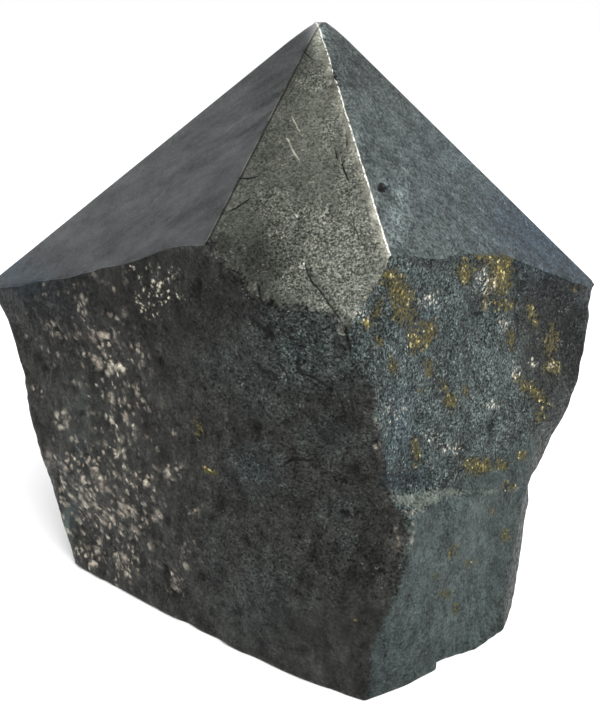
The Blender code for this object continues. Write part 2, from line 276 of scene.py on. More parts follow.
SLATE = [
    (300, 345, 52, 44, 0, 0.9), (262, 395, 34, 30, 0, 0.45), (225, 365, 30, 30, 0, 0.45),
    (255, 470, 30, 30, -35, 0.45), (260, 600, 40, 45, 0, 0.45), (215, 560, 20, 40, 0, 0.3),
    (66, 535, 9, 38, -12, 1.0), (340, 510, 25, 12, 0, 0.5), (345, 545, 16, 14, 0, 0.4),
    (330, 440, 40, 30, 0, 0.35), (80, 420, 20, 60, 0, 0.3), (352, 365, 20, 25, 0, 0.8),
    (562, 325, 34, 70, 5, 0.55),
]
# Painted shade: shade under the rim, the brow and the ledge, on the far right face and beside the
# tip, with some darker tone of the rock
SHADE_AND_DARKER_TONE = [
    (320, 19, 14, 3, 0, 0.7), (350, 60, 24, 34, 40, 0.45), (292, 48, 22, 26, 30, 0.45),
    (540, 235, 64, 38, -38, 0.5), (440, 150, 60, 30, -38, 0.12), (60, 312, 66, 46, 0, 0.75),
    (140, 300, 54, 36, 0, 0.5), (404, 480, 16, 9, 0, 0.8), (432, 486, 9, 4, 0, 0.6),
    (210, 300, 32, 45, 0, 0.5), (190, 262, 45, 10, -14, 0.5), (60, 282, 60, 7, -14, 0.5),
    (350, 380, 12, 40, 0, 0.4), (560, 330, 22, 50, 10, 0.35), (545, 292, 30, 10, 0, 0.35),
    (262, 300, 14, 20, -35, 0.6), (150, 410, 12, 45, 0, 0.35), (240, 420, 30, 40, 0, 0.25),
    (380, 625, 12, 40, 30, 0.35), (500, 545, 12, 60, 0, 0.25), (285, 302, 34, 12, 62, 0.3),
    (256, 262, 38, 38, -35, 0.9), (222, 245, 18, 16, 0, 0.8), (446, 261, 58, 4, 2, 0.6),
    (560, 280, 36, 5, -18, 0.5), (564, 322, 34, 78, 5, 1.12), (280, 75, 50, 26, 35, 0.55),
    (220, 200, 14, 22, -28, 0.25), (275, 150, 12, 50, -28, 0.2),
]
# Painted light on the top of the ledge, where it faces up
LEDGE_LIGHT_SPOTS = [
    (404, 499, 14, 6, -5, 1.0), (428, 498, 16, 8, 15, 0.9), (452, 492, 20, 5, -5, 0.8),
    (482, 493, 18, 4, 0, 0.6), (418, 507, 9, 6, 30, 0.8), (514, 488, 10, 4, 0, 0.4),
]
# A blue tint on the wall, and painted reflection of the sky's blue on the facets towards the right
BLUE_TINT_AND_SKY_REFLECTION = [
    (560, 235, 80, 46, -38, 1.2), (404, 479, 17, 9, 0, 1.0), (400, 430, 16, 40, 0, 0.5),
    (20, 275, 45, 22, -30, 0.7), (66, 535, 8, 38, -12, 0.05), (480, 150, 60, 50, 40, 0.3),
    (420, 320, 20, 30, 0, 0.3), (255, 470, 24, 20, -35, 0.15),
]
GRIT = [
    (300, 240, 34, 36, 0, 1.0), (340, 250, 36, 45, 0, 0.9), (350, 180, 14, 30, -10, 0.9),
    (268, 200, 20, 12, 30, 0.8), (312, 80, 16, 14, 0, 0.7), (330, 130, 12, 20, 0, 0.5),
    (340, 300, 40, 20, 0, 0.7), (290, 280, 24, 18, 0, 0.7), (325, 35, 8, 12, 0, 0.5),
]
BRUSHED = [
    (255, 108, 40, 22, 35, 1.0), (225, 130, 26, 16, 35, 0.6), (285, 70, 30, 20, 35, 0.4),
]
# Painted light: highlights at the tip and along the right ridge, light on the ledge's top and on
# the left chamfer, with some paler tone of the rock
LIGHT_AND_PALER_TONE = [
    (318, 33, 7, 24, 0, 3.6), (322, 72, 14, 40, -10, 0.8), (352, 150, 6, 35, -16, 0.7),
    (373, 210, 6, 30, -10, 0.6), (337, 105, 10, 50, -16, 0.7), (310, 130, 20, 30, 0, 0.2),
    (345, 245, 26, 45, 0, 0.25), (312, 95, 14, 50, -10, 0.35), (397, 214, 9, 34, -8, 1.6),
    (465, 160, 24, 16, 40, 0.3), (440, 125, 40, 30, 40, 0.15), (95, 500, 60, 70, 0, 0.3),
    (430, 497, 38, 7, -4, 1.0), (410, 503, 16, 6, 20, 0.8), (265, 600, 40, 50, 0, 0.15),
    (395, 640, 14, 40, 20, 0.3), (455, 575, 50, 90, 0, 0.45), (480, 600, 30, 30, 0, 0.5),
    (470, 400, 40, 60, 0, 0.15), (64, 532, 9, 40, -12, 1.2), (255, 458, 22, 26, 0, 0.3),
]

# Thin marks on the picture: half width in pixels, depth in millimetres, then the points
CRACKS = [
    (1.0, 0.30, [(305, 265), (311, 281), (322, 293), (330, 305), (344, 325)]),
    (1.8, 0.45, [(344, 325), (348, 335), (350, 350)]),
    (1.3, 0.15, [(258, 285), (259, 294), (262, 302)]),
    (1.5, 0.18, [(250, 316), (257, 323), (264, 331), (272, 338)]),
    (1.8, 0.20, [(257, 367), (263, 372), (270, 373), (275, 377)]),
    (1.2, 0.15, [(280, 365), (284, 371), (288, 379)]),
    (2.0, 0.20, [(298, 358), (297, 366), (303, 374)]),
    (1.3, 0.15, [(308, 375), (316, 379), (325, 386)]),
    (1.0, 0.20, [(337, 395), (342, 406), (345, 418)]), (0.9, 0.15, [(351, 400), (354, 414)]),
    (1.4, 0.30, [(288, 463), (297, 459), (310, 461)]), (0.9, 0.15, [(329, 558), (340, 580)]),
    (0.8, 0.15, [(515, 262), (519, 285), (515, 308), (519, 332), (513, 348)]),
    (0.7, 0.10, [(428, 366), (436, 378), (442, 390)]), (0.7, 0.10, [(456, 452), (474, 436)]),
    (0.7, 0.10, [(304, 51), (311, 58)]), (0.8, 0.05, [(229, 211), (236, 208), (248, 200)]),
    (0.7, 0.04, [(240, 178), (246, 179), (255, 177)]), (0.8, 0.12, [(346, 130), (347, 146)]),
    (0.8, 0.12, [(340, 158), (345, 173), (348, 180)]), (0.7, 0.08, [(366, 206), (370, 222)]),
    (0.7, 0.08, [(354, 226), (360, 240)]), (0.7, 0.08, [(335, 150), (338, 160)]),
]
PALE_CRACKS = [
    (0.9, 0.05, [(288, 139), (292, 149), (298, 159)]), (0.7, 0.04, [(293, 119), (299, 131)]),
    (0.7, 0.04, [(339, 152), (341, 163)]), (0.7, 0.03, [(140, 214), (152, 204), (166, 190)]),
    (0.6, 0.03, [(150, 222), (160, 213), (168, 207)]), (0.6, 0.03, [(168, 222), (180, 211)]),
]
STEP = [(248, 503), (258, 495), (268, 485), (277, 473), (285, 467)]  # a curved step on the left
PITS = [  # place and radius on the picture, depth
    (383, 187, 4.0, 0.7), (298, 219, 2.5, 0.3), (328, 212, 2.5, 0.3), (322, 205, 2.0, 0.2),
    (343, 482, 3.5, 0.5), (345, 514, 3.5, 0.5), (380, 571, 3.5, 0.5), (329, 391, 3.5, 0.5),
    (270, 301, 4.0, 0.5), (334, 75, 4.5, 0.3), (332, 86, 3.5, 0.25), (366, 160, 3.5, 0.25),
    (262, 302, 3.0, 0.3), (303, 363, 3.0, 0.4), (297, 385, 2.5, 0.3), (313, 455, 2.5, 0.3),
]


class Wire:
    """A socket of a material, so that sums on its value are written as Python expressions."""

    def __init__(self, finish, socket):
        self.finish = finish
        self.socket = socket

    def maths(self, operation, *values):
        """The result of a Math node on this and other values."""
        settings = {"operation": operation}
        return self.finish.node("ShaderNodeMath", settings, dict(enumerate(values)))

    def __add__(self, other):
        return self.maths("ADD", self, other)

    def __radd__(self, other):
        return self.maths("ADD", other, self)

    def __sub__(self, other):
        return self.maths("SUBTRACT", self, other)

    def __rsub__(self, other):
        return self.maths("SUBTRACT", other, self)

    def __mul__(self, other):
        return self.maths("MULTIPLY", self, other)

    def __rmul__(self, other):
        return self.maths("MULTIPLY", other, self)

    def __truediv__(self, other):
        return self.maths("DIVIDE", self, other)

    def __abs__(self):
        return self.maths("ABSOLUTE", self)

    def most(self, other):
        """The larger of this and another value."""
        return self.maths("MAXIMUM", self, other)

    def rise(self, low, high):
        """0 up to low and 1 from high on, with a smooth rise between. High may be below low."""
        settings = {"interpolation_type": "SMOOTHSTEP"}
        sockets = {"Value": self, "From Min": low, "From Max": high}
        return self.finish.node("ShaderNodeMapRange", settings, sockets)


class Finish:
    """A material under construction."""

    def __init__(self, name):
        self.material = bpy.data.materials.new(name)
        self.material.use_nodes = True
        self.tree = self.material.node_tree
        self.surface = self.tree.nodes["Principled BSDF"]

    def node(self, kind, settings=None, sockets=None, out=0):
        """Adds a node: its settings first, then the values or wires of its sockets."""
        made = self.tree.nodes.new(kind)
        for name, value in (settings or {}).items():
            setattr(made, name, value)
        for name, value in (sockets or {}).items():
            self.plug(made.inputs[name], value)
        return Wire(self, made.outputs[out])

    def plug(self, socket, value):
        """Links a wire to a socket, or sets the socket's own value."""
        if isinstance(value, Wire):
            self.tree.links.new(value.socket, socket)
        else:
            socket.default_value = value

    def attribute(self, name):
        """A value that each point of the mesh carries."""
        return self.node("ShaderNodeAttribute", {"attribute_name": name}, out="Fac")

    def mix(self, share, first, second):
        """Two colours mixed by a share from 0 to 1."""
        settings = {"data_type": "RGBA"}
        colours = [c if isinstance(c, Wire) else (*c, 1) for c in (first, second)]
        sockets = {0: share, 6: colours[0], 7: colours[1]}
        return self.node("ShaderNodeMix", settings, sockets, out=2)

    def scaled(self, vector, factor):
        """A vector or colour times a number."""
        settings = {"operation": "SCALE"}
        return self.node("ShaderNodeVectorMath", settings, {0: vector, "Scale": factor})

    def vectors(self, operation, *values):
        """The result of a Vector Math node on vectors or colours."""
        settings = {"operation": operation}
        return self.node("ShaderNodeVectorMath", settings, dict(enumerate(values)))

    def noise(self, place, size, detail, rough):
        """Noise from 0 to 1 with features of a size in millimetres."""
        sockets = {"Vector": place, "Scale": 1 / size, "Detail": detail, "Roughness": rough}
        return self.node("ShaderNodeTexNoise", {}, sockets)

    def grains(self, place, size):
        """Three random numbers from 0 to 1 for each grain of rock, as wires."""
        sockets = {"Vector": place, "Scale": 1 / size}
        cell = self.node("ShaderNodeTexVoronoi", {}, sockets, out="Color")
        parts = [self.node("ShaderNodeSeparateColor", {}, {0: cell}, out=i) for i in range(3)]
        return cell, parts

    def beads(self, place, size, shape):
        """Soft uneven beads, one for each cell of a size, and three random numbers for each."""
        bend = self.node("ShaderNodeTexNoise", {}, {"Vector": place, "Scale": 1 / size}, out=1)
        bend = self.vectors("SUBTRACT", bend, HALF)
        bent = self.vectors("ADD", place, self.scaled(bend, size * 1.4))
        drawn = self.node("ShaderNodeMapping", {}, {"Vector": bent, "Scale": shape})
        sockets = {"Vector": drawn, "Scale": 1 / size}
        far = self.node("ShaderNodeTexVoronoi", {}, sockets, out="Distance")
        _, parts = self.grains(drawn, size)
        return far.rise(0.62, 0.05), parts


def lattice_noise(points, size, seed):
    """Smooth noise from -1 to 1: random values on a cubic lattice, blended between its points."""
    values = np.random.default_rng(seed).uniform(-1, 1, (LATTICE, LATTICE, LATTICE))
    cell = np.floor(points / size).astype(int)
    part = points / size - cell
    part = part * part * (3 - 2 * part)
    total = np.zeros(points.shape[:-1])
    for step in np.ndindex(2, 2, 2):
        weight = np.prod(np.where(step, part, 1 - part), axis=-1)
        at = (cell + step) % LATTICE
        total += weight * values[at[..., 0], at[..., 1], at[..., 2]]
    return total


def fine_noise(points, name):
    """One of the FINE_NOISES, from -1 to 1."""
    return lattice_noise(points, *FINE_NOISES[name])


def terraces(points, depth, size, steps, seed):
    """Noise pressed towards even levels, so that flat shelves end in short steps."""
    level = steps * lattice_noise(points, size, seed)
    shelf = np.floor(level)
    climb = np.clip(3 * (level - shelf) - 1, 0, 1)
    return depth * (shelf + climb) / steps / 2


def coarse_relief(points):
    """The part's own relief: terraces, lumps and crags."""
    height = terraces(points, TERRACE_DEPTH, TERRACE_SIZE, TERRACE_STEPS, RELIEF_SEED + 2)
    height += LUMP_DEPTH * lattice_noise(points, LUMP_SIZE, RELIEF_SEED)
    return height + CRAG_DEPTH * lattice_noise(points, CRAG_SIZE, RELIEF_SEED + 1)


def stations():
    """Distance round the block of each corner line, from their places at middle height."""
    places = np.array([
        [np.interp(MIDDLE_HEIGHT, *np.array(line)[:, (0, axis)].T) for axis in (1, 2)]
        for line in CORNERS.values()
    ])
    sides = np.linalg.norm(np.roll(places, -1, axis=0) - places, axis=1)
    return np.concatenate([[0.0], np.cumsum(sides)])


def along_sides(values, marks, columns):
    """Each column's share of the values of the two corner lines beside it."""
    side = np.searchsorted(marks, columns, side="right") - 1
    share = (columns - marks[side]) / (marks[side + 1] - marks[side])
    following = (side + 1) % len(values)
    return values[side] * (1 - share) + values[following] * share


def wall_plan(height, columns, marks):
    """The wall's x and y before relief: corner lines read at each height and joined by straight
    sides, with each bend spread over EDGE_RADIUS to both sides as a parabola."""
    lines = [np.array(line, float) for line in CORNERS.values()]
    places = np.stack([
        np.stack([np.interp(height, line[:, 0], line[:, axis]) for axis in (1, 2)], axis=-1)
        for line in lines
    ])
    slopes = (np.roll(places, -1, axis=0) - places) / np.diff(marks)[:, None, None, None]
    side = np.searchsorted(marks, columns, side="right") - 1
    every = np.arange(len(columns))
    begin = places[side, :, every].swapaxes(0, 1)
    plan = begin + slopes[side, :, every].swapaxes(0, 1) * (columns - marks[side])[:, None]
    for corner, mark in enumerate(marks[:-1]):
        away = np.abs(around_from(columns, mark, marks))
        spread = np.maximum(EDGE_RADIUS - away, 0) ** 2 / (4 * EDGE_RADIUS)
        plan += (slopes[corner] - slopes[corner - 1]) * spread[:, None]
    return plan


def around_from(columns, mark, marks):
    """Distance round the block from a mark, the short way: negative before it, positive after."""
    around = marks[-1]
    return (columns - mark + around / 2) % around - around / 2


def scars(height, columns, marks):
    """How deep the scars are: in each, a bowl that ends in a crisp rim."""
    names = list(CORNERS)
    depth = np.zeros(height.shape)
    for line, offset, middle, radius, deep in SCARS:
        away = around_from(columns, marks[names.index(line)] + offset, marks)
        reach = (away / radius) ** 2 + ((height - middle) / radius) ** 2
        depth = np.maximum(depth, deep * (1 - reach))
    return depth


def foot_chip(height, columns, marks):
    """How deep the chip off the foot is: deepest at its left end, fading up and to the right."""
    along = (columns - marks[list(CORNERS).index("ledge")] - CHIP_START) / CHIP_WIDTH
    fade = np.clip(1 - along, 0, 1) * (along > 0)
    return CHIP_DEPTH * fade * np.clip(1 - height / CHIP_HEIGHT, 0, 1)


def foot_wear(height):
    """How far the foot's edge is worn back: a quarter round of small radius."""
    return FOOT_WEAR * np.clip(1 - height / FOOT_WEAR_HEIGHT, 0, 1) ** 2


def beak(height, columns, marks):
    """How far the right corner is moved out: a small beak at the rim and a hollow below it."""
    along = around_from(columns, marks[list(CORNERS).index("right")], marks)
    out = BEAK_OUT * np.exp(-((along - BEAK_MIDDLE) / BEAK_HALF_WIDTH) ** 2)
    out = out * smooth(height, *BEAK_HEIGHTS)
    hollow = smooth(height, *HOLLOW_BELOW) * smooth(height, *HOLLOW_ABOVE)
    return out - HOLLOW_IN * np.exp(-(along / HOLLOW_HALF_WIDTH) ** 2) * hollow


def wall(height, columns, marks):
    """The wall's points: the plan, moved outwards by relief and inwards by scars and wear."""
    plan = wall_plan(height, columns, marks)
    run = np.roll(plan, -1, axis=1) - np.roll(plan, 1, axis=1)
    run /= np.linalg.norm(run, axis=-1, keepdims=True)
    outward = np.stack([run[..., 1], -run[..., 0]], axis=-1)
    points = np.concatenate([plan, height[..., None]], axis=-1)
    out = coarse_relief(points) - scars(height, columns, marks)
    out += beak(height, columns, marks) - foot_chip(height, columns, marks) - foot_wear(height)
    points[..., :2] += outward * out[..., None]
    return points


def facet_heights(x, y):
    """The heights of the six facets' planes over places in plan."""
    found = []
    for azimuth, slope, axis_height in FACETS.values():
        turn, tilt = np.radians([azimuth, slope])
        run = np.cos(turn) * (x - POINT_AXIS[0]) + np.sin(turn) * (y - POINT_AXIS[1])
        found.append(axis_height - np.tan(tilt) * run)
    return np.array(found)


def crown_height(x, y):
    """The point's surface: the lowest of the facets' planes, rounded where they meet.

    The soft lowest value is -k log(sum(exp(-height / k))), with k larger near the tip. HEIGHT
    cuts it off.
    """
    planes = facet_heights(x, y)
    lowest = planes.min(axis=0)
    k = RIDGE_ROUND + TIP_ROUND * smooth(lowest, *TIP_ROUND_HEIGHTS)
    return np.minimum(lowest - k * np.log(np.exp((lowest - planes) / k).sum(axis=0)), HEIGHT)


def rim_heights(columns, marks):
    """Where the wall meets the point, for every column, by halving a range of heights."""
    low, high = (np.full(len(columns), height) for height in RIM_RANGE)
    for _ in range(RIM_HALVINGS):
        middle = (low + high) / 2
        place = wall(middle[None], columns, marks)[0]
        above = middle > crown_height(place[:, 0], place[:, 1])
        high = np.where(above, middle, high)
        low = np.where(above, low, middle)
    return (low + high) / 2


def ridge_stations(marks):
    """Where each ridge between two facets meets the rim, in the order of the facets.

    At the rim, the lowest plane changes from one facet to the next, and the place is read where
    their heights are equal.
    """
    columns = np.arange(0, marks[-1], RIDGE_SEARCH)
    rim = wall(rim_heights(columns, marks)[None], columns, marks)[0]
    heights = facet_heights(rim[:, 0], rim[:, 1])
    lowest = heights.argmin(axis=0)
    found = []
    for facet in range(len(FACETS)):
        following = (facet + 1) % len(FACETS)
        change = np.flatnonzero((lowest == facet) & (np.roll(lowest, -1) == following))[-1]
        gap = heights[following] - heights[facet]
        after = (change + 1) % len(columns)
        share = gap[change] / (gap[change] - gap[after])
        found.append(columns[change] + RIDGE_SEARCH * share)
    return np.array(found)


def column_stations(marks, ridges):
    """Distance round the block of every column: even ones, and close ones beside each ridge."""
    found = []
    rear_begin = marks[list(CORNERS).index("rear right")]
    for begin, end in zip(marks[:-1], marks[1:]):
        width = REAR_WIDTH if begin >= rear_begin else FRONT_WIDTH
        count = max(2, round((end - begin) / width))
        found += list(np.linspace(begin, end, count, endpoint=False))
    even = np.array(found)
    beside = (ridges[:, None] + np.array(RIDGE_OFFSETS)).ravel() % marks[-1]
    for ridge in ridges:
        away = np.abs(around_from(even, ridge, marks))
        even = even[away > RIDGE_OFFSETS[-1] + FRONT_WIDTH / 2]
    return np.sort(np.concatenate([even, beside]))


def tip_corners():
    """The corners of the flat tip in plan: where two neighbouring facets reach full height."""
    lines = []
    for azimuth, slope, axis_height in FACETS.values():
        turn, tilt = np.radians([azimuth, slope])
        reach = (axis_height - HEIGHT) / np.tan(tilt)
        lines.append((np.cos(turn), np.sin(turn), reach))
    lines = np.array(lines)
    following = np.roll(lines, -1, axis=0)
    sides = np.stack([lines[:, :2], following[:, :2]], axis=1)
    reaches = np.stack([lines[:, 2], following[:, 2]], axis=1)
    return np.linalg.solve(sides, reaches[..., None])[..., 0] + POINT_AXIS


def tip_outline(columns, ridges, marks):
    """The point on the flat tip's outline that each column runs to. Ridges run to corners."""
    corners = tip_corners()
    order = np.argsort(ridges)
    places = ridges[order]
    turns = np.concatenate([[places[-1] - marks[-1]], places, [places[0] + marks[-1]]])
    around = np.concatenate([corners[order[-1:]], corners[order], corners[order[:1]]])
    return np.stack([np.interp(columns, turns, around[:, axis]) for axis in (0, 1)], axis=-1)


def wall_heights(columns, marks, rim):
    """Heights of the wall's rows at each column, closer at the foot, the ledge and the rim."""
    ledge = along_sides(np.array(list(LEDGE_HEIGHT.values()), float), marks, columns)
    foot, head = ledge - LEDGE_RISE / 2, ledge + LEDGE_RISE / 2
    edge = np.array(FOOT_ROWS)[:, None] * np.ones(len(columns))
    below = np.linspace(edge[-1], foot, ROWS_BELOW_LEDGE + 1)[1:]
    step = np.linspace(foot, head, ROWS_IN_LEDGE + 1)[1:]
    above = np.linspace(head, rim - RIM_ROWS[0], ROWS_ABOVE_LEDGE + 1)[1:]
    last = rim - np.array([*RIM_ROWS[1:], 0.0])[:, None]
    return np.concatenate([edge, below, step, above, last])


def stone_grid():
    """The stone's surface on a grid: rows from the foot's middle to the tip, columns around.

    Returns the points, each row's kind (0 foot, 1 wall, 2 point) and the columns' stations.
    """
    marks = stations()
    ridges = ridge_stations(marks)
    columns = column_stations(marks, ridges)
    rim = rim_heights(columns, marks)
    side = wall(wall_heights(columns, marks, rim), columns, marks)

    foot_middle = side[0].mean(axis=0)
    foot = foot_middle + np.array(FOOT_SHARES)[:, None, None] * (side[0] - foot_middle)

    outline = tip_outline(columns, ridges, marks)
    shares = np.concatenate([CROWN_EDGE_SHARES, np.linspace(0, 1, CROWN_ROWS + 1)[1:]])
    shares = shares[:, None, None]
    crown = side[-1, :, :2] * (1 - shares) + outline * shares
    tip_middle = outline.mean(axis=0)
    tip = tip_middle + np.array([*TIP_SHARES, 0.0])[:, None, None] * (outline - tip_middle)
    plan = np.concatenate([crown, tip])
    top = np.concatenate([plan, crown_height(plan[..., 0], plan[..., 1])[..., None]], axis=-1)

    points = np.concatenate([foot, side, top])
    kind = np.repeat([0, 1, 2], [len(foot), len(side), len(top)])
    return points, kind, columns, marks


def grid_normals(points):
    """Unit normals from the differences between neighbouring rows and columns."""
    across = np.roll(points, -1, axis=1) - np.roll(points, 1, axis=1)
    up = np.empty_like(points)
    up[1:-1] = points[2:] - points[:-2]
    up[0] = points[1] - points[0]
    up[-1] = points[-1] - points[-2]
    normal = np.cross(across, up)
    length = np.linalg.norm(normal, axis=-1, keepdims=True)
    return normal / np.maximum(length, 1e-9)


def on_picture(points):
    """Where points show on the photograph, in pixels: x and y, as a camera's view divides them."""
    pitch = np.radians(PITCH)
    away = points - np.array(EYE)
    forward = away @ np.array([0, np.cos(pitch), -np.sin(pitch)])
    up = away @ np.array([0, np.sin(pitch), np.cos(pitch)])
    x = PICTURE[0] / 2 + FOCUS * away[..., 0] / forward
    y = PICTURE[1] / 2 - FOCUS * up / forward
    return np.stack([x, y], axis=-1)


def smooth(value, low, high):
    """0 up to low and 1 from high on, with a smooth rise between."""
    share = np.clip((value - low) / (high - low), 0, 1)
    return share * share * (3 - 2 * share)


def spots(pixels, marks):
    """The strongest of soft elliptical spots at each place: strength x exp(-r^2)."""
    total = np.zeros(pixels.shape[:-1])
    for x, y, half_width, half_height, lean, strength in marks:
        turn = np.radians(lean)
        right, down = pixels[..., 0] - x, pixels[..., 1] - y
        across = (right * np.cos(turn) - down * np.sin(turn)) / half_width
        along = (right * np.sin(turn) + down * np.cos(turn)) / half_height
        total = np.maximum(total, strength * np.exp(-across ** 2 - along ** 2))
    return total


def segment_distance(pixels, begin, end):
    """Distance to a straight stretch, and on which side of it a place lies."""
    begin, end = np.array(begin, float), np.array(end, float)
    run = end - begin
    away = pixels - begin
    share = np.clip(away @ run / (run @ run), 0, 1)
    near = away - share[..., None] * run
    side = np.sign(run[0] * away[..., 1] - run[1] * away[..., 0])
    return np.linalg.norm(near, axis=-1), side


def nearest_line(pixels, lines):
    """Signed distance to the nearest line in its half widths, and that line's depth."""
    best = np.full(pixels.shape[:-1], 1e3)
    depth = np.zeros(best.shape)
    for half_width, deep, points in lines:
        for begin, end in zip(points[:-1], points[1:]):
            distance, side = segment_distance(pixels, begin, end)
            distance = distance / half_width
            closer = distance < np.abs(best)
            best = np.where(closer, distance * np.where(side < 0, -1, 1), best)
            depth = np.where(closer, deep, depth)
    return best, depth


def fine_relief(points, columns, marks):
    """Small shelves, crumbs and grains of the broken sides, calmer on the smooth lower right."""
    names = list(CORNERS)
    upright = points * (1, 1, UPRIGHT_SHARE)
    size, seed = FINE_NOISES["shelf"]
    height = terraces(points, SHELF_DEPTH, size, SHELF_STEPS, seed)
    height += CRUMB_DEPTH * fine_noise(upright, "crumb")
    height += GRAIN_DEPTH * fine_noise(points, "grain")
    height -= HOLE_DEPTH * np.maximum(fine_noise(points, "hole") - HOLE_LEVEL, 0)
    right_side = smooth(around_from(columns, marks[names.index("front")], marks), 0, 2)
    low = smooth(points[..., 2], *BELOW_LEDGE)
    far = smooth(around_from(columns, marks[names.index("valley")], marks), -1, 3)
    calm = np.clip(0.65 * right_side * low + 0.4 * right_side * far, 0, 0.7)
    return height * (1 - calm)


def rim_chips(points, rim_distance):
    """Small bites out of the rim: noise above a level, fading with distance."""
    bite = 0
    for name, level, share in BITES:
        bite += share * np.maximum(fine_noise(points, name) - level, 0)
    return BITE_DEPTH * bite * np.exp(-(rim_distance / BITE_REACH) ** 2)


def ridge_distance(points, first, second):
    """Level distance from the ridge between two facets: the gap between their planes' heights,
    divided by how fast that gap grows."""
    names = list(FACETS)
    heights = facet_heights(points[..., 0], points[..., 1])
    slopes = []
    for name in (first, second):
        turn, tilt = np.radians(FACETS[name][:2])
        slopes.append(np.tan(tilt) * np.array([np.cos(turn), np.sin(turn)]))
    growth = np.linalg.norm(slopes[0] - slopes[1])
    return (heights[names.index(first)] - heights[names.index(second)]) / growth


def pit_depth(pixels):
    """How deep the pits are: in each, depth x exp(-r^2)."""
    depth = np.zeros(pixels.shape[:-1])
    for x, y, radius, deep in PITS:
        reach = np.hypot(pixels[..., 0] - x, pixels[..., 1] - y) / radius
        depth = np.maximum(depth, deep * np.exp(-reach ** 2))
    return depth


def step_depth(pixels):
    """How deep the curved step is: it drops over a short way and fades to both sides."""
    distance, _ = nearest_line(pixels, [(1.0, 1.0, STEP)])
    drop = STEP_DEPTH * smooth(-distance, -STEP_HALF_WIDTH, STEP_HALF_WIDTH)
    return drop * np.exp(-(distance / STEP_FADE) ** 2)


def survey(points, kind, columns):
    """What the carving and the material both ask of each point of the grid.

    Seen is 1 where the photograph shows the point. Rough and ground are 1 on the wall and on the
    facets. The distances are in millimetres, but those from the thin marks are in their half
    widths.
    """
    at = SimpleNamespace(points=points, normal=grid_normals(points), pixels=on_picture(points))
    to_eye = np.array(EYE) - points
    to_eye /= np.linalg.norm(to_eye, axis=-1, keepdims=True)
    at.seen = smooth((at.normal * to_eye).sum(axis=-1), 0.0, FACING)
    at.rough = (kind == 1)[:, None] * np.ones(len(columns))
    at.ground = (kind == 2)[:, None] * np.ones(len(columns))
    rim = int(np.flatnonzero(kind == 1)[-1])
    rim_distance = np.linalg.norm(points - points[rim], axis=-1)
    at.rim_distance = np.where(kind[:, None] == 0, FAR_AWAY, rim_distance)
    at.left_ridge = ridge_distance(points, "left", "front")
    at.right_ridge = ridge_distance(points, "front", "right")
    at.line, at.line_depth = nearest_line(at.pixels, CRACKS)
    at.pale_line, _ = nearest_line(at.pixels, PALE_CRACKS)
    at.pit = pit_depth(at.pixels) * at.seen
    return at


def carve(at, columns, marks):
    """Lays the fine relief, cracks, pits, chips and the curved step on the grid.

    Returns the carved points and the fine relief alone.
    """
    relief = at.rough * fine_relief(at.points, columns, marks)
    relief *= smooth(at.points[..., 2], 0.0, RELIEF_START)
    ripple = at.ground * (RIPPLE_DEPTH * fine_noise(at.points, "ripple"))
    crack = at.line_depth * np.exp(-(at.line / CRACK_SPREAD) ** 2) * at.seen
    step = step_depth(at.pixels) * at.seen * at.rough
    out = relief + (ripple - crack - at.pit - step)
    out -= rim_chips(at.points, at.rim_distance)
    nick = np.maximum(fine_noise(at.points, "nick") - NICK_LEVEL, 0) * at.ground
    for distance, (depth, reach) in ((at.right_ridge, RIGHT_NICKS), (at.left_ridge, LEFT_NICKS)):
        out -= depth * nick * np.exp(-(distance / reach) ** 2)
    return at.points + at.normal * out[..., None], relief


